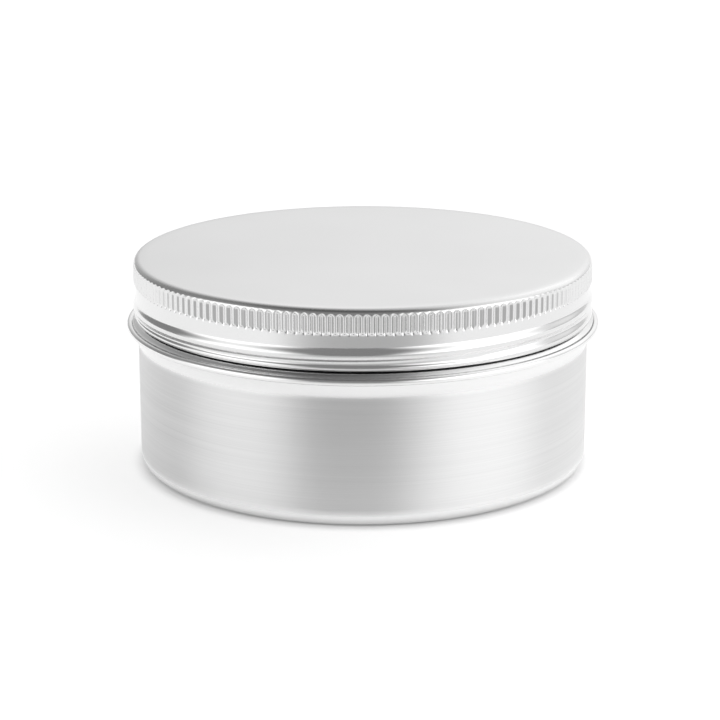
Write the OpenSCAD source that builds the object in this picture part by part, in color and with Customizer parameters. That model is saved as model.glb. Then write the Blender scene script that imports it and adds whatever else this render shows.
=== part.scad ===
// Round aluminium tin with a screw lid: a drawn can, a knurled lid and the foam liner inside it.
// The origin is on the table at the middle of the can, +Z is up and the front faces -Y.

/* [Can] */
// Outside radius of the can's side wall
can_r = 39.4; // [30:0.1:60]
// Thickness of the sheet that the can and the lid are pressed from
sheet = 0.3; // [0.2:0.02:0.36]
// Height of the middle of the bead above the table
bead_z = 25.2; // [15:0.1:60]
// How far the bead stands out from the side wall
bead_out = 2; // [1.8:0.05:2.6]
// Radius of the bead's rounded edge
bead_round = 0.65; // [0.5:0.05:0.8]
// Height of the flared band below the bead
flare_h = 2.45; // [1:0.05:5]
// Radius of the rounded edge at the foot
foot_round = 2.3; // [1:0.1:4]
// Width of the flat ring that the can stands on
foot_w = 1.2; // [0.6:0.1:4]
// How far the base panel is pressed up into the can
base_rise = 0.8; // [0.2:0.1:2]

/* [Neck and thread] */
// How far the neck is set in from the side wall
neck_in = 0.3; // [0.2:0.05:0.6]
// Radius of the curl that closes the mouth
curl_round = 0.6; // [0.5:0.05:0.9]
// Height of the thread, on the neck and in the lid
thread_h = 0.46; // [0.36:0.02:0.54]
// Width of the ridge on the neck
thread_w = 1.5; // [1.2:0.1:1.7]
// Rise of the thread in one full turn
thread_lead = 2.4; // [2.4:0.1:2.8]
// Height of the thread above the lid's rim, at the front
thread_z = 2.6; // [2.4:0.1:3]

/* [Lid] */
// Height of the lid from its rim to its top
lid_h = 10.35; // [9:0.05:16]
// Radius of the rounded edge around the lid's top
lid_round = 1.3; // [0.9:0.1:1.6]
// How far the knurled band stands out from the skirt
knurl_out = 0.3; // [0.2:0.05:0.5]
// Height of the knurled band
knurl_h = 2.9; // [2:0.1:3.2]
// Number of flutes around the knurled band
knurl_n = 172; // [120:1:180]
// Depth of one flute
knurl_d = 0.33; // [0.2:0.01:0.36]
// Width of the rolled ridge that shows on the skirt
ridge_w = 2.3; // [1.9:0.1:2.3]
// Height of the straight band at the rim
rim_h = 0.85; // [0.6:0.05:1.2]
// Thickness of the liner
liner_h = 1; // [0.5:0.1:2]

/* [Clearances] */
// Gap between the neck and the skirt around it
neck_gap = 0.3; // [0.2:0.02:0.36]
// Gap between the neck's ridge and the lid's rim
thread_gap = 0.12; // [0.1:0.02:0.3]
// Gap between the bead and the lid's rim above it
rim_gap = 0.8; // [0.7:0.05:1.5]
// Gap between the liner and the curl at the mouth
seal_gap = 0.1; // [0.05:0.01:0.3]
// Gap between the liner's edge and the corner inside the lid
liner_gap = 0.05; // [0.05:0.01:0.5]

/* [Hidden] */
$fn = 180;
arc_steps = 8;

// radii of the can, then of the lid that screws onto its neck
bead_c = can_r + bead_out - bead_round;
neck_r = can_r - neck_in;
skirt_in = neck_r + neck_gap;
skirt_r = skirt_in + sheet;
knurl_r = skirt_r + knurl_out;
rim_r = neck_r + thread_h + thread_gap + sheet;
corner_in = 0.5;
liner_r = skirt_in - corner_in - liner_gap;

// heights, from the bead up to the top of the lid and back down to the mouth
rim_z = bead_z + bead_round + rim_gap;
top_z = rim_z + lid_h;
panel_z = top_z - sheet;
liner_z = panel_z - liner_h;
mouth_z = liner_z - seal_gap;
knurl_top = top_z - lid_round;
knurl_z = knurl_top - knurl_h + 0.3;
flute_z = knurl_z + 0.15;
front_z = rim_z + thread_z;

// bead: where the flare and the shoulder meet its round edge
crease_a = 130;
shoulder_rise = 0.55;
shoulder_round = 0.5;

// flutes: radius of the round cutter, from the width and the depth of a flute
knurl_pitch = 2 * PI * knurl_r / knurl_n;
flute_w = 0.72 * knurl_pitch;
flute_r = (flute_w * flute_w / 4 + knurl_d * knurl_d) / (2 * knurl_d);

// thread: the stretch of the helix that each piece has, in degrees from the front
neck_turn = [-290, 100];
groove_turn = [-330, 158];
ridge_turn = [-346, 162];
thread_fade = 40;
thread_step = 6;
groove_w = thread_w + 0.7;

// points on an arc about c, from angle a to angle b
function arc(c, r, a, b) =
    [for (i = [0:arc_steps]) c + r * [cos(a + (b - a) * i / arc_steps), sin(a + (b - a) * i / arc_steps)]];

function reversed(p) = [for (i = [len(p) - 1:-1:0]) p[i]];
function unit(v) = v / norm(v);
function left_of(v) = [-v[1], v[0]];

// direction that moves corner i of a path sideways by one unit of thickness
function miter(p, i) =
    let (a = left_of(unit(p[max(i, 1)] - p[max(i, 1) - 1])),
         b = left_of(unit(p[min(i, len(p) - 2) + 1] - p[min(i, len(p) - 2)])))
    (a + b) / (1 + a * b);

// closed outline of a sheet that lies to the left of a path
function sheet_outline(p, t) =
    concat(p, reversed([for (i = [0:len(p) - 1]) p[i] + t * miter(p, i)]));

// outside of the can, from the middle of the base out, up the wall, over the bead and up the neck
foot_c = [can_r - foot_round, foot_round];
crease = [bead_c, bead_z] + bead_round * [cos(crease_a), -sin(crease_a)];
shoulder = [bead_c, bead_z] + bead_round * [cos(crease_a), sin(crease_a)];
curl_c = [neck_r - curl_round, mouth_z - curl_round];
function flare(n) =
    [for (i = [0:n - 1]) let (t = i / n)
        [can_r + (crease[0] - can_r) * (0.6 * t + 0.4 * t * t), crease[1] - flare_h * (1 - t)]];
can_path = concat(
    [[0, base_rise], [can_r - foot_round - foot_w - base_rise, base_rise],
     [can_r - foot_round - foot_w, 0]],
    arc(foot_c, foot_round, -90, 0),
    flare(5),
    arc([bead_c, bead_z], bead_round, -crease_a, crease_a),
    [[neck_r + shoulder_round, shoulder[1] + shoulder_rise - shoulder_round / 2],
     [neck_r, shoulder[1] + shoulder_rise + shoulder_round / 2]],
    arc(curl_c, curl_round, 0, 250));

// outside of the lid, from the middle of its top to its rim, and back up the inside
lid_path = concat(
    [[0, top_z]],
    reversed(arc([knurl_r - lid_round, knurl_top], lid_round, 0, 90)),
    [[knurl_r - knurl_d - 0.05, knurl_top], [knurl_r - knurl_d - 0.05, flute_z], [knurl_r, flute_z],
     [knurl_r, knurl_z], [skirt_r, knurl_z - 0.4], [skirt_r, rim_z + rim_h + 0.4],
     [rim_r, rim_z + rim_h], [rim_r, rim_z + sheet / 3], [rim_r - sheet / 3, rim_z],
     [rim_r - sheet * 2 / 3, rim_z], [rim_r - sheet, rim_z + sheet / 3],
     [rim_r - sheet, rim_z + rim_h], [skirt_in, rim_z + rim_h + 0.4]],
    arc([skirt_in - corner_in, panel_z - corner_in], corner_in, 0, 90),
    [[0, panel_z]]);

// height of the thread at a turn, and how much of its full depth it has there
function helix_z(a) = front_z + thread_lead * a / 360;
function fade(a, span) = max(0.02, min(1, (a - span[0]) / thread_fade, (span[1] - a) / thread_fade));

// one section across a rounded thread: crown points over a straight back
function section(r, h, w, back) =
    concat([for (i = [-3:3]) [r + h * (1 - i * i / 9) - 0.04, w / 2 * i / 3]],
           [[r - back, w / 2], [r - back, -w / 2]]);

// a rounded thread that follows the helix over a span of turns
module thread(r, h, w, back, span) {
    steps = ceil((span[1] - span[0]) / thread_step);
    rings = [for (k = [0:steps])
        let (a = span[0] + (span[1] - span[0]) * k / steps)
        [for (p = section(r, h * fade(a, span), w, back))
            [p[0] * sin(a), -p[0] * cos(a), helix_z(a) + p[1]]]];
    n = len(rings[0]);
    points = [for (ring = rings) for (p = ring) p];
    sides = [for (k = [0:steps - 1]) for (j = [0:n - 1])
        let (a = k * n + j, b = k * n + (j + 1) % n)
        each [[a, b, a + n], [b, b + n, a + n]]];
    polyhedron(points, concat(sides,
        [[for (j = [n - 1:-1:0]) j]],
        [[for (j = [0:n - 1]) steps * n + j]]));
}

// the band of upright flutes, which fills the hollow left for it in the lid's outline
module knurl() {
    translate([0, 0, flute_z])
        linear_extrude(height = knurl_top - flute_z)
            difference() {
                circle(r = knurl_r);
                for (i = [0:knurl_n - 1])
                    rotate((i + 0.25) * 360 / knurl_n)
                        translate([knurl_r - knurl_d + flute_r, 0]) circle(r = flute_r, $fn = 24);
                circle(r = knurl_r - knurl_d - 0.15);
            }
}

module can_body() {
    color("silver")
        difference() {
            union() {
                rotate_extrude() polygon(sheet_outline(can_path, sheet));
                thread(neck_r, thread_h, thread_w, sheet / 2, neck_turn);
            }
            thread(neck_r - sheet, thread_h, thread_w, 1, neck_turn);
        }
}

// what lies above the straight band at the rim
module above_rim(rise) {
    intersection() {
        children();
        translate([0, 0, rim_z + rim_h + rise]) cylinder(r = knurl_r + 2, h = lid_h);
    }
}

module lid_shell() {
    color("gainsboro")
        difference() {
            union() {
                rotate_extrude() polygon(lid_path);
                knurl();
                above_rim(0.2) thread(skirt_r, thread_h, ridge_w, sheet / 2, ridge_turn);
            }
            above_rim(-0.05) thread(skirt_in, thread_h, groove_w, 1, groove_turn);
        }
}

module lid_liner() {
    color("white")
        translate([0, 0, liner_z]) cylinder(r = liner_r, h = liner_h);
}

can_body();
lid_shell();
lid_liner();
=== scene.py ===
import math
import bpy
import numpy as np
from mathutils import Matrix, Vector


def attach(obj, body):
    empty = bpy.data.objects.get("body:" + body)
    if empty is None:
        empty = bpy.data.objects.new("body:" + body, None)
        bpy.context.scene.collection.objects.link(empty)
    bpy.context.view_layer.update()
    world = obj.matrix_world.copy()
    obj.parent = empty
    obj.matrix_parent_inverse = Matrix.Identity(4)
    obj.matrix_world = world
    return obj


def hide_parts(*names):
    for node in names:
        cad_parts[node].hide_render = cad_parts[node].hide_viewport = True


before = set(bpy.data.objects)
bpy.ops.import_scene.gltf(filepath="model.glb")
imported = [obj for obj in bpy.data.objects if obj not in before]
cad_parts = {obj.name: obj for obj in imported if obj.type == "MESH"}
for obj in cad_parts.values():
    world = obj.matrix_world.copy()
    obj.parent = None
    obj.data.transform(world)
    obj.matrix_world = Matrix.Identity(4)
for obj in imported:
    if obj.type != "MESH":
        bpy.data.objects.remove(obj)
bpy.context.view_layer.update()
print("stage: frame loaded")

millimetre = 0.001
scene = bpy.context.scene


# Camera

camera = {
    "place": (0.0, -390.9, 127.8),   # millimetres from the middle of the can's foot
    "pitch": 15.77,                  # degrees below the horizon
    "roll": -0.12,                   # degrees about the view axis
    "yaw": 0.07,                     # degrees to the left
    "lens": 114.70,                  # millimetres on a 36 mm sensor
    "sensor": 36.0,
    "shift": -0.0002,                # share of the picture's width
    "nearest": 0.01,                 # metres; nothing nearer is drawn
}


def makeCamera():
    # turn = yaw about the upright, then pitch about the camera's side axis, then roll about its view axis
    data = bpy.data.cameras.new("camera")
    data.sensor_width = camera["sensor"]
    data.lens = camera["lens"]
    data.shift_x = camera["shift"]
    data.clip_start = camera["nearest"]
    obj = bpy.data.objects.new("camera", data)
    turn = (Matrix.Rotation(math.radians(camera["yaw"]), 4, "Z")
            @ Matrix.Rotation(math.radians(90.0 - camera["pitch"]), 4, "X")
            @ Matrix.Rotation(math.radians(camera["roll"]), 4, "Z"))
    obj.matrix_world = Matrix.Translation(Vector(camera["place"]) * millimetre) @ turn
    scene.collection.objects.link(obj)
    scene.camera = obj


# Shader nodes

class Socket:
    # one output of a node tree; arithmetic on it adds Math nodes
    def __init__(self, tree, link):
        self.tree = tree
        self.link = link

    def math(self, operation, other):
        return addNode(self.tree, "ShaderNodeMath", {"operation": operation}, 0, {0: self, 1: other})

    def __add__(self, other):
        return self.math("ADD", other)

    def __radd__(self, other):
        return self.math("ADD", other)

    def __sub__(self, other):
        return self.math("SUBTRACT", other)

    def __rsub__(self, other):
        return self * -1.0 + other

    def __mul__(self, other):
        return self.math("MULTIPLY", other)

    def __rmul__(self, other):
        return self.math("MULTIPLY", other)

    def smooth(self, low, high):
        # 0 below low, 1 above high, and an S-curve between them
        return addNode(self.tree, "ShaderNodeMapRange", {"interpolation_type": "SMOOTHSTEP"}, "Result",
                       {"Value": self, "From Min": low, "From Max": high})


def plug(tree, value, target):
    if isinstance(value, Socket):
        tree.links.new(value.link, target)
    else:
        target.default_value = value


def addNode(tree, kind, settings, output, sockets={}):
    # settings go first, then the value or link of each socket, by its name or its place
    node = tree.nodes.new(kind)
    for key, value in settings.items():
        setattr(node, key, value)
    for key, value in sockets.items():
        plug(tree, value, node.inputs[key])
    return Socket(tree, node.outputs[output])


def emptyTree(owner):
    # node tree of a material or the world, with nothing in it yet
    owner.use_nodes = True
    owner.node_tree.nodes.clear()
    return owner.node_tree


def showShader(tree, kind, shader):
    # the tree's output node, fed by a shader
    out = tree.nodes.new(kind)
    plug(tree, shader, out.inputs["Surface"])


def newMaterial(name):
    material = bpy.data.materials.new(name)
    tree = emptyTree(material)
    return material, tree, addNode(tree, "ShaderNodeTexCoord", {}, "Object")


def principled(tree, sockets):
    showShader(tree, "ShaderNodeOutputMaterial", addNode(tree, "ShaderNodeBsdfPrincipled", {}, 0, sockets))


def noise(tree, where, cells, detail=2.0, roughness=0.5):
    # noise on object coordinates, which are first scaled by cells across and cells up, both per metre
    across, up = cells
    spot = addNode(tree, "ShaderNodeMapping", {}, 0, {"Vector": where, "Scale": (across, across, up)})
    return addNode(tree, "ShaderNodeTexNoise", {}, "Fac",
                   {"Vector": spot, "Scale": 1.0, "Detail": detail, "Roughness": roughness})


def mixColour(tree, share, low, high):
    # colour = low at share 0 and high at share 1
    # sockets 6 and 7 of a Mix node are its colours and output 2 is the result
    return addNode(tree, "ShaderNodeMix", {"data_type": "RGBA"}, 2, {"Factor": share, 6: low, 7: high})


def bumped(tree, level, strength, depth):
    return addNode(tree, "ShaderNodeBump", {}, 0, {"Strength": strength, "Distance": depth, "Height": level})


def dot(tree, a, b):
    return addNode(tree, "ShaderNodeVectorMath", {"operation": "DOT_PRODUCT"}, "Value", {0: a, 1: b})


def height(tree, where):
    return addNode(tree, "ShaderNodeSeparateXYZ", {}, "Z", {"Vector": where})


# Metal

metal = {
    "colour": (0.86, 0.86, 0.86, 1.0),
    "streakColour": (0.70, 0.70, 0.70, 1.0),
    "wallRoughness": 0.41,
    "skirtRoughness": 0.16,
    "topRoughness": 0.30,
    "brushed": 0.92,                # how far the streaks around the can stretch its reflections
    "brushTurn": 0.25,              # a quarter turn, so that they stretch up and down
    "fineStreaks": (25.0, 9000.0),  # cells per metre across and up
    "broadStreaks": (12.0, 1500.0),
    "fineShare": 0.7,
    "streakRoughness": 0.15,
    "streakBump": 0.06,
    "streakDepth": 0.0002,          # metres
    "wallStart": (0.0012, 0.0032),  # heights in metres between which the wall's finish comes in
    "wallEnd": (0.0215, 0.0228),    # and goes
    "topStart": (0.0362, 0.0369),   # and between which the lid's top begins
    "grain": (6000.0, 6000.0),
    "cloud": (30.0, 30.0),
    "grainRoughness": 0.06,
    "grainBump": 0.03,
    "grainDepth": 0.0001,
}


def canMetal():
    # streaks = noise drawn out around the can; they fade out on the rolled bead and flare, which are smoother
    material, tree, where = newMaterial("canMetal")
    fine = noise(tree, where, metal["fineStreaks"], 3.0, 0.6)
    broad = noise(tree, where, metal["broadStreaks"])
    z = height(tree, where)
    wall = z.smooth(*metal["wallStart"]) * (1.0 - z.smooth(*metal["wallEnd"]))
    streak = (fine * metal["fineShare"] + broad * (1.0 - metal["fineShare"])) * wall
    rough = wall * (metal["wallRoughness"] - metal["skirtRoughness"]) + metal["skirtRoughness"]
    principled(tree, {
        "Base Color": mixColour(tree, streak, metal["colour"], metal["streakColour"]),
        "Roughness": rough + (streak - wall * 0.5) * metal["streakRoughness"],
        "Metallic": 1.0,
        "Anisotropic": metal["brushed"],
        "Anisotropic Rotation": metal["brushTurn"],
        "Normal": bumped(tree, streak, metal["streakBump"], metal["streakDepth"])})
    return material


def lidMetal():
    # the top is satin, with a faint even grain; the rolled skirt and the knurl are smoother
    material, tree, where = newMaterial("lidMetal")
    grain = noise(tree, where, metal["grain"])
    cloud = noise(tree, where, metal["cloud"])
    top = height(tree, where).smooth(*metal["topStart"])
    rough = top * (metal["topRoughness"] - metal["skirtRoughness"]) + metal["skirtRoughness"]
    principled(tree, {
        "Base Color": mixColour(tree, (grain + cloud) * 0.5, metal["colour"], metal["streakColour"]),
        "Roughness": rough + (grain - 0.5) * metal["grainRoughness"],
        "Metallic": 1.0,
        "Normal": bumped(tree, grain, metal["grainBump"], metal["grainDepth"])})
    return material


# Foam

foam = {
    "colour": (0.93, 0.93, 0.92, 1.0),
    "cellColour": (0.80, 0.80, 0.79, 1.0),
    "cells": 2600.0,        # per metre
    "roughness": 0.6,
    "cellRoughness": 0.2,
    "bump": 0.3,
    "depth": 0.0002,        # metres
}


def linerFoam():
    # cells of the foam as a fine bump on matte white
    material, tree, where = newMaterial("linerFoam")
    cells = addNode(tree, "ShaderNodeTexVoronoi", {}, "Distance", {"Vector": where, "Scale": foam["cells"]})
    principled(tree, {
        "Base Color": mixColour(tree, cells, foam["colour"], foam["cellColour"]),
        "Roughness": cells * foam["cellRoughness"] + foam["roughness"],
        "Normal": bumped(tree, cells, foam["bump"], foam["depth"])})
    return material


# Profiles and revolved meshes

def arc(centre, radius, start, end, count=24):
    # points on a circle about the centre, from one angle to the other in degrees
    turn = np.radians(np.linspace(start, end, count))
    return np.column_stack((centre[0] + radius * np.cos(turn), centre[1] + radius * np.sin(turn)))


def evenly(points, step):
    # the same line with its points a fixed step apart
    along = np.concatenate(([0.0], np.cumsum(np.hypot(*np.diff(points, axis=0).T))))
    count = max(int(along[-1] / step), 2)
    at = np.linspace(0.0, along[-1], count + 1)
    return np.column_stack((np.interp(at, along, points[:, 0]), np.interp(at, along, points[:, 1])))


def softened(points, reach, step=0.02):
    # corners rounded by a moving average of the line over reach; both ends stay where they are
    line = evenly(points, step)
    half = max(int(reach / step), 1)
    weights = np.hanning(2 * half + 3)[1:-1]
    weights = weights / weights.sum()
    before = 2.0 * line[0] - line[half:0:-1]
    after = 2.0 * line[-1] - line[-2:-half - 2:-1]
    padded = np.vstack((before, line, after))
    return np.column_stack([np.convolve(padded[:, axis], weights, "valid") for axis in (0, 1)])


def leftOf(points):
    # unit vector to the left of the line at each of its points
    slope = np.gradient(points, axis=0)
    slope = slope / np.maximum(np.hypot(slope[:, 0], slope[:, 1]), 1e-9)[:, None]
    return np.column_stack((-slope[:, 1], slope[:, 0]))


def thinned(points, longest, bend):
    # fewer points: the longest step where the line is straight, and a turn of bend radians on curves
    slope = leftOf(points)
    step = np.hypot(*np.diff(points, axis=0).T)
    turn = np.hypot(*np.diff(slope, axis=0).T)
    weight = np.concatenate(([0.0], np.cumsum(step / longest + turn / bend)))
    count = int(weight[-1]) + 1
    at = np.linspace(0.0, weight[-1], count + 1)
    return np.column_stack((np.interp(at, weight, points[:, 0]), np.interp(at, weight, points[:, 1])))


def smoothMax(a, b, blend):
    # the larger of two surfaces, rounded where they cross over about blend
    return 0.5 * (a + b + np.sqrt((a - b) ** 2 + blend ** 2)) - 0.5 * blend


def smoothMin(a, b, blend):
    return -smoothMax(-a, -b, blend)


def ease(low, high, value):
    # 0 below low, 1 above high, and an S-curve between them
    share = np.clip((value - low) / (high - low), 0.0, 1.0)
    return share * share * (3.0 - 2.0 * share)


def azimuths(count):
    # degrees from the front, growing to the right
    return np.arange(count) * 360.0 / count - 180.0


def ringPoints(radius, z, turn):
    # x = radius times the turn's sine, y = minus radius times its cosine, at one height
    angle = np.radians(turn)
    radius = radius * np.ones(len(turn))
    return np.column_stack((radius * np.sin(angle), -radius * np.cos(angle), z * np.ones(len(turn))))


def bandFaces(firstRow, secondRow):
    # quads between two rings of one count, or triangles where one has four times as many points
    a, b = firstRow, secondRow
    if len(a) == len(b):
        return [np.column_stack((a, b, np.roll(b, -1), np.roll(a, -1)))]
    if len(a) > len(b):
        return [faces[:, ::-1] for faces in bandFaces(b, a)]
    fine = np.vstack([np.roll(b, -k)[::4] for k in range(5)])
    nextA = np.roll(a, -1)
    return ([np.column_stack((a, fine[k], fine[k + 1])) for k in (0, 1)]
            + [np.column_stack((a, fine[2], nextA))]
            + [np.column_stack((nextA, fine[k], fine[k + 1])) for k in (2, 3)])


def revolvedMesh(name, rows, firstPole, lastPole):
    # a closed surface from rings, one after the other, with a fan to a point on the axis at each end
    starts = np.cumsum([0] + [len(row) for row in rows])
    index = [np.arange(start, start + len(row)) for start, row in zip(starts, rows)]
    faces = []
    for lower, upper in zip(index[:-1], index[1:]):
        faces += bandFaces(lower, upper)
    first, last = starts[-1], starts[-1] + 1
    faces.append(np.column_stack((np.full(len(index[0]), first), index[0], np.roll(index[0], -1))))
    faces.append(np.column_stack((index[-1], np.full(len(index[-1]), last), np.roll(index[-1], -1))))
    points = np.vstack(rows + [[(0.0, 0.0, firstPole)], [(0.0, 0.0, lastPole)]]) * millimetre
    mesh = bpy.data.meshes.new(name)
    mesh.from_pydata(points.tolist(), [], [face for group in faces for face in group.tolist()])
    mesh.polygons.foreach_set("use_smooth", np.ones(len(mesh.polygons), bool))
    mesh.update()
    obj = bpy.data.objects.new(name, mesh)
    scene.collection.objects.link(obj)
    return obj


def helixBump(turn, z, thread):
    # height of a rolled thread: a cosine ridge about a helix, faded at both ends, over every turn that passes
    best = np.zeros(len(turn))
    for lap in (-2, -1, 0, 1):
        angle = turn + 360.0 * lap
        centre = thread["front"] + thread["lead"] * angle / 360.0
        begins = ease(thread["start"], thread["start"] + thread["fade"], angle)
        finishes = ease(thread["end"] - thread["fade"], thread["end"], angle)
        off = np.clip((z - centre) / thread["half"], -1.0, 1.0)
        ridge = thread["height"] * 0.5 * (1.0 + np.cos(math.pi * off))
        best = np.maximum(best, ridge * begins * (1.0 - finishes))
    return best


# Can

can = {
    "wall": 39.4,           # radii, heights and lengths in millimetres
    "sheet": 0.3,
    "hub": 0.3,             # radius of the first ring around the axis
    "footRound": 2.3,
    "footWide": 1.2,
    "baseRise": 0.8,
    "flareStart": 22.25,
    "flareCurve": 0.4,      # share of the flare's widening that grows with the square of the height
    "beadHeight": 25.2,
    "beadCentre": 40.75,
    "beadRound": 0.65,
    "beadTurn": 130.0,      # degrees either way from the bead's outermost line
    "shoulder": [(40.1, 25.85), (39.7, 26.25)],
    "neck": 39.1,
    "neckStart": 26.6,
    "mouth": 35.6,
    "curlRound": 0.6,
    "curlTurn": 250.0,      # degrees
    "soft": 0.10,           # corners of the outside are rounded over this length
    "softInside": 0.12,
    "longest": 2.4,         # distance between rings on straight stretches
    "bend": 0.20,           # radians between rings on curves
    "bendInside": 0.24,
    "columns": 320,
    "threadRows": (27.0, 32.5, 34),     # lowest and highest ring of the thread, and their number
    "near": 0.1,            # rings this near to the neck's radius and heights belong to the neck
    "thread": {"front": 29.25, "lead": 2.4, "start": -290.0, "end": 100.0, "fade": 40.0,
               "half": 0.75, "height": 0.44},
}


def canOutline():
    # outside of the can from the middle of its base to the tip of its curl
    # the flare widens with a share of its height and with that share's square
    bead = (can["beadCentre"], can["beadHeight"])
    creaseOut, creaseUp = arc(bead, can["beadRound"], -can["beadTurn"], can["beadTurn"], 2)[0]
    share = np.linspace(0.0, 1.0, 24)[:-1]
    widening = (1.0 - can["flareCurve"]) * share + can["flareCurve"] * share ** 2
    flare = np.column_stack((
        can["wall"] + (creaseOut - can["wall"]) * widening,
        can["flareStart"] + (creaseUp - can["flareStart"]) * share))
    ring = can["wall"] - can["footRound"] - can["footWide"]
    return np.vstack((
        [(can["hub"], can["baseRise"]), (ring - can["baseRise"], can["baseRise"]), (ring, 0.0)],
        arc((can["wall"] - can["footRound"], can["footRound"]), can["footRound"], -90.0, 0.0),
        flare,
        arc(bead, can["beadRound"], -can["beadTurn"], can["beadTurn"], 40),
        can["shoulder"],
        [(can["neck"], can["neckStart"])],
        arc((can["neck"] - can["curlRound"], can["mouth"] - can["curlRound"]), can["curlRound"],
            0.0, can["curlTurn"], 40)))


def makeCan():
    # the sheet's outside, then its inside a sheet's thickness to the left, with the rolled thread on the neck
    outline = softened(canOutline(), can["soft"])
    inner = softened(outline + can["sheet"] * leftOf(outline), can["softInside"])
    outside = thinned(outline, can["longest"], can["bend"])
    outside[:, 1] = np.maximum(outside[:, 1], 0.0)
    inside = thinned(inner, can["longest"], can["bendInside"])[::-1]
    low, high, count = can["threadRows"]
    turn = azimuths(can["columns"])
    rows = []
    for line, radius, span in ((outside, can["neck"], np.linspace(low, high, count)),
                               (inside, can["neck"] - can["sheet"], np.linspace(high, low, count))):
        onNeck = ((np.abs(line[:, 0] - radius) < can["near"])
                  & (line[:, 1] > low - can["near"]) & (line[:, 1] < high + can["near"]))
        spots = np.flatnonzero(onNeck)
        neck = np.column_stack((np.full(count, radius), span))
        for r, z in np.vstack((line[:spots[0]], neck, line[spots[-1] + 1:])):
            ridge = helixBump(turn, z, can["thread"]) if abs(r - radius) < can["near"] else 0.0
            rows.append(ringPoints(r + ridge, z, turn))
    obj = revolvedMesh("canShell", rows, can["baseRise"], can["baseRise"] + can["sheet"])
    obj.data.flip_normals()     # an outline that starts at the base winds its faces inward
    obj.data.materials.append(canMetal())
    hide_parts("can_body")
    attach(obj, "can")


# Lid

lid = {
    "top": 37.0,            # radii, heights and lengths in millimetres
    "edgeRound": 1.3,
    "hub": 0.3,
    "knurl": 40.0,
    "knurlLow": 33.0,       # height where the knurled band steps in to the skirt
    "skirt": 39.7,
    "sheet": 0.3,
    "rim": 26.65,
    "rimOut": 39.95,
    "cornerRound": 0.6,     # inside, under the edge
    "soft": 0.10,           # corners are rounded over this length
    "longest": 2.5,         # distance between rings on straight stretches
    "bend": 0.16,           # radians between rings on curves
    "bendInside": 0.20,
    "columns": 430,
    "fineColumns": 1720,    # around the knurled band; four times the columns
    "bandHigh": 36.45,      # heights between which the rings have the fine columns
    "bandLow": 32.3,
    "bandStep": 0.17,
    "flutes": 172,
    "fluteShare": 0.72,     # width of a flute as a share of its pitch
    "fluteFloor": 39.52,
    "fluteTop": 35.55,      # the flute's floor rises above this height, by its depth over the next length
    "topRise": 0.55,
    "fluteLow": 33.1,       # and below this one
    "lowRise": 0.5,
    "lowLift": 0.1,
    "fluteBlend": 0.02,     # rounding of the flute's edges as a share of the pitch
    "threadHigh": 32.6,     # the skirt's rings end here
    "threadStep": 0.15,
    "threadNear": 0.5,
    "threadBlend": 0.04,
    "thread": {"front": 29.25, "lead": 2.4, "start": -346.0, "end": 160.0, "fade": 40.0,
               "half": 1.45, "height": 0.48},
}


def lidOutline():
    # outside of the lid from the middle of its top to the bottom of its rim
    edge = (lid["knurl"] - lid["edgeRound"], lid["top"] - lid["edgeRound"])
    skirt, rimOut, rim = lid["skirt"], lid["rimOut"], lid["rim"]
    return np.vstack((
        [(lid["hub"], lid["top"])],
        arc(edge, lid["edgeRound"], 90.0, 0.0, 40),
        [(lid["knurl"], lid["knurlLow"] + 0.05), (skirt, lid["knurlLow"] - 0.35),
         (skirt, rim + 1.3), (skirt + 0.04, rim + 0.95), (rimOut, rim + 0.65),
         (rimOut, rim + 0.35), (rimOut - 0.12, rim), (rimOut - 0.22, rim)]))


def lidInline():
    # inside of the lid from the bottom of its rim to the middle of its panel
    inner = lid["skirt"] - lid["sheet"]
    panel = lid["top"] - lid["sheet"]
    corner = lid["cornerRound"]
    rimOut, rim = lid["rimOut"], lid["rim"]
    return np.vstack((
        [(rimOut - 0.22, rim), (rimOut - 0.3, rim + 0.15), (rimOut - 0.28, rim + 0.75), (inner, rim + 1.25)],
        arc((inner - corner, panel - corner), corner, 0.0, 90.0, 20),
        [(lid["hub"], panel)]))


def fluted(radius, z, turn):
    # the smaller of the lid's own radius and a parabola across each flute
    # the parabola rises with the square of the height past each end, so the flutes end round
    pitch = 2.0 * math.pi * lid["knurl"] / lid["flutes"]
    across = (turn / 360.0 * lid["flutes"]) % 1.0 - 0.5
    half = 0.5 * lid["fluteShare"]
    depth = lid["knurl"] - lid["fluteFloor"]
    topLift = depth * max((z - lid["fluteTop"]) / lid["topRise"], 0.0) ** 2
    lowLift = lid["lowLift"] * max((lid["fluteLow"] - z) / lid["lowRise"], 0.0) ** 2
    cutter = lid["fluteFloor"] + depth * (across / half) ** 2 + topLift + lowLift
    return smoothMin(radius, cutter, lid["fluteBlend"] * pitch)


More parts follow.
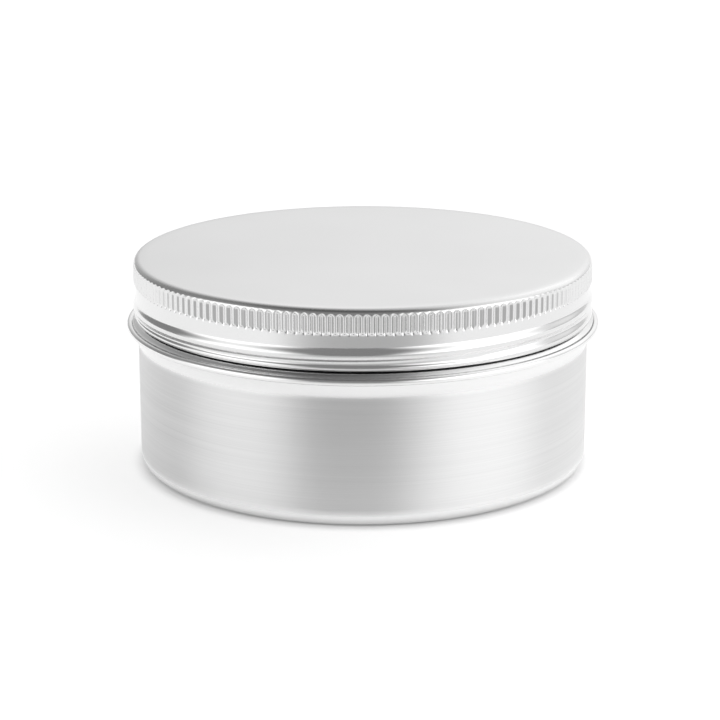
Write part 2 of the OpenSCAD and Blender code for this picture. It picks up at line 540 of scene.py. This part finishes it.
def makeLid():
    # rings in order: top and edge, knurled band, skirt with its thread
    # then the inside: the same thread, and the panel under the top
    outside = softened(lidOutline(), lid["soft"])
    inside = softened(lidInline(), lid["soft"])
    turn, fineTurn = azimuths(lid["columns"]), azimuths(lid["fineColumns"])
    top = outside[outside[:, 1] > lid["bandHigh"]]
    band = outside[(outside[:, 1] <= lid["bandHigh"]) & (outside[:, 1] > lid["bandLow"])]
    skirt = outside[outside[:, 1] <= lid["bandLow"]]
    rows = [ringPoints(r, z, turn) for r, z in thinned(top, lid["longest"], lid["bend"])]
    rows += [ringPoints(fluted(r, z, fineTurn), z, fineTurn) for r, z in evenly(band, lid["bandStep"])[1:-1]]
    for line, radius in ((skirt, lid["skirt"]), (inside, lid["skirt"] - lid["sheet"])):
        onSkirt = (np.abs(line[:, 0] - radius) < lid["threadNear"]) & (line[:, 1] < lid["threadHigh"])
        for r, z in evenly(line[onSkirt], lid["threadStep"]):
            ridge = radius + helixBump(turn, z, lid["thread"])
            rows.append(ringPoints(smoothMax(r, ridge, lid["threadBlend"]), z, turn))
    panel = thinned(inside[~onSkirt], lid["longest"], lid["bendInside"])
    rows += [ringPoints(r, z, turn) for r, z in panel[1:]]
    obj = revolvedMesh("lidShell", rows, lid["top"], lid["top"] - lid["sheet"])
    obj.data.materials.append(lidMetal())
    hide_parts("lid_shell")
    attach(obj, "lid")


# Liner

liner = {
    "radius": 38.85,        # millimetres
    "low": 35.7,
    "high": 36.7,
    "round": 0.2,
    "hub": 0.5,
    "soft": 0.05,
    "longest": 1.0,
    "bend": 0.2,
    "mark": 0.05,           # depth and half-width of the mark that the can's curl has pressed into it
    "markWide": 0.3,
    "columns": 240,
}


def makeLiner():
    # a flat disc with rounded edges; the mark under it is a bell curve of the radius about the curl's middle
    radius, low, high, edge = liner["radius"], liner["low"], liner["high"], liner["round"]
    outline = np.vstack((
        [(liner["hub"], low)],
        arc((radius - edge, low + edge), edge, -90.0, 0.0, 12),
        arc((radius - edge, high - edge), edge, 0.0, 90.0, 12),
        [(liner["hub"], high)]))
    line = thinned(softened(outline, liner["soft"]), liner["longest"], liner["bend"])
    curl = can["neck"] - can["curlRound"]
    underside = line[:, 1] < low + 0.5 * edge
    line[:, 1] += liner["mark"] * np.exp(-((line[:, 0] - curl) / liner["markWide"]) ** 2) * underside
    turn = azimuths(liner["columns"])
    obj = revolvedMesh("foamLiner", [ringPoints(r, z, turn) for r, z in line], low, high)
    obj.data.flip_normals()     # as on the can
    obj.data.materials.append(linerFoam())
    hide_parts("lid_liner")
    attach(obj, "liner")


# Floor and light

light = {
    "ambient": 0.33,
    # each lobe: azimuth from the front and elevation in degrees, inner and outer half-angle, brightness added
    "lobes": [
        (-63.0, 0.0, 6.0, 43.0, 1.85),
        (57.0, 0.0, 0.0, 51.0, 2.2),
        (103.0, 38.0, 30.0, 45.0, 0.4),
        (149.0, 42.0, 0.0, 64.0, 0.8),
        (180.0, 18.0, 0.0, 55.0, 0.30),
        (0.0, 88.0, 0.0, 45.0, -0.25),
    ],
    "floorReach": 30.0,     # metres either way
    "floorColour": (0.75, 0.75, 0.75, 1.0),
    "floorSeen": 0.60,      # glow added for the camera
    # painted reflection: the floor's glow for mirror rays, though it is no lamp
    "floorPaintedReflection": 0.60,  # and for reflections
    "paintedShadowFadeStart": 0.0365,    # metres from the middle where the glow starts; nearer in the floor has no glow, a painted shadow about the foot added to the can's real shadow
    "paintedShadowFadeEnd": 0.0415,
    # painted shade in reflections: the next four set where the reflected glow is dimmed in front
    "shade": 0.95,          # share of the mirrored glow that is lost in a sector in front
    "shadeHalf": 42.0,      # half-width of that sector in degrees
    "shadeStart": 0.045,    # metres from the middle where it starts
    "shadeFull": 0.13,
}


def makeFloor():
    # a white floor; its glow for camera rays brings it to plain white, its glow for mirror rays is a painted
    # reflection with painted shade in front, and a ring about the foot gets no glow, a painted shadow; the
    # real shadow stays
    reach = light["floorReach"]
    corners = [(-reach, -reach, 0.0), (reach, -reach, 0.0), (reach, reach, 0.0), (-reach, reach, 0.0)]
    mesh = bpy.data.meshes.new("floor")
    mesh.from_pydata(corners, [], [(0, 1, 2, 3)])
    obj = bpy.data.objects.new("floor", mesh)
    scene.collection.objects.link(obj)
    material, tree, where = newMaterial("floorPaintedGlowAndShadow")
    away = addNode(tree, "ShaderNodeVectorMath", {"operation": "LENGTH"}, "Value", {0: where})
    aim = addNode(tree, "ShaderNodeVectorMath", {"operation": "NORMALIZE"}, "Vector", {0: where})
    front = dot(tree, aim, (0.0, -1.0, 0.0))
    # painted shade: a sector in front of the can loses most of its reflected glow, seen only in the metal
    sector = front.smooth(math.cos(math.radians(light["shadeHalf"])), 1.0)
    sector = sector * away.smooth(light["shadeStart"], light["shadeFull"])
    seen = addNode(tree, "ShaderNodeLightPath", {}, "Is Camera Ray") * light["floorSeen"]
    # painted reflection: the floor glows for mirror rays only, though it is no lamp
    paintedReflection = addNode(tree, "ShaderNodeLightPath", {}, "Is Glossy Ray") * light["floorPaintedReflection"]
    # painted shadow: the floor gets no glow in a ring about the can's foot, so it is darker there than its
    # real shadow alone
    clear = away.smooth(light["paintedShadowFadeStart"], light["paintedShadowFadeEnd"])
    strength = (seen + paintedReflection * (1.0 - sector * light["shade"])) * clear
    diffuse = addNode(tree, "ShaderNodeBsdfDiffuse", {}, 0, {"Color": light["floorColour"]})
    glow = addNode(tree, "ShaderNodeEmission", {}, 0, {"Strength": strength})
    both = addNode(tree, "ShaderNodeAddShader", {}, 0, {0: diffuse, 1: glow})
    showShader(tree, "ShaderNodeOutputMaterial", both)
    mesh.materials.append(material)


def makeWorld():
    # brightness = an even ambient plus a soft-edged lobe for each panel or flag; the camera sees plain white
    world = bpy.data.worlds.new("studio")
    scene.world = world
    tree = emptyTree(world)
    toward = addNode(tree, "ShaderNodeTexCoord", {}, "Generated")
    level = light["ambient"]
    for azimuth, elevation, inner, outer, gain in light["lobes"]:
        az, el = math.radians(azimuth), math.radians(elevation)
        axis = (math.sin(az) * math.cos(el), -math.cos(az) * math.cos(el), math.sin(el))
        aim = dot(tree, toward, axis)
        level = aim.smooth(math.cos(math.radians(outer)), math.cos(math.radians(inner))) * gain + level
    direct = addNode(tree, "ShaderNodeLightPath", {}, "Is Camera Ray")
    strength = direct + (1.0 - direct) * level.math("MAXIMUM", 0.0)
    background = addNode(tree, "ShaderNodeBackground", {}, 0, {"Strength": strength})
    showShader(tree, "ShaderNodeOutputWorld", background)


makeCamera()
print("stage: camera")
makeWorld()
makeFloor()
print("stage: floor and light")
makeCan()
print("stage: can")
makeLid()
print("stage: lid")
makeLiner()
print("stage: liner")

scene.view_settings.view_transform = "Standard"
bpy.context.view_layer.update()
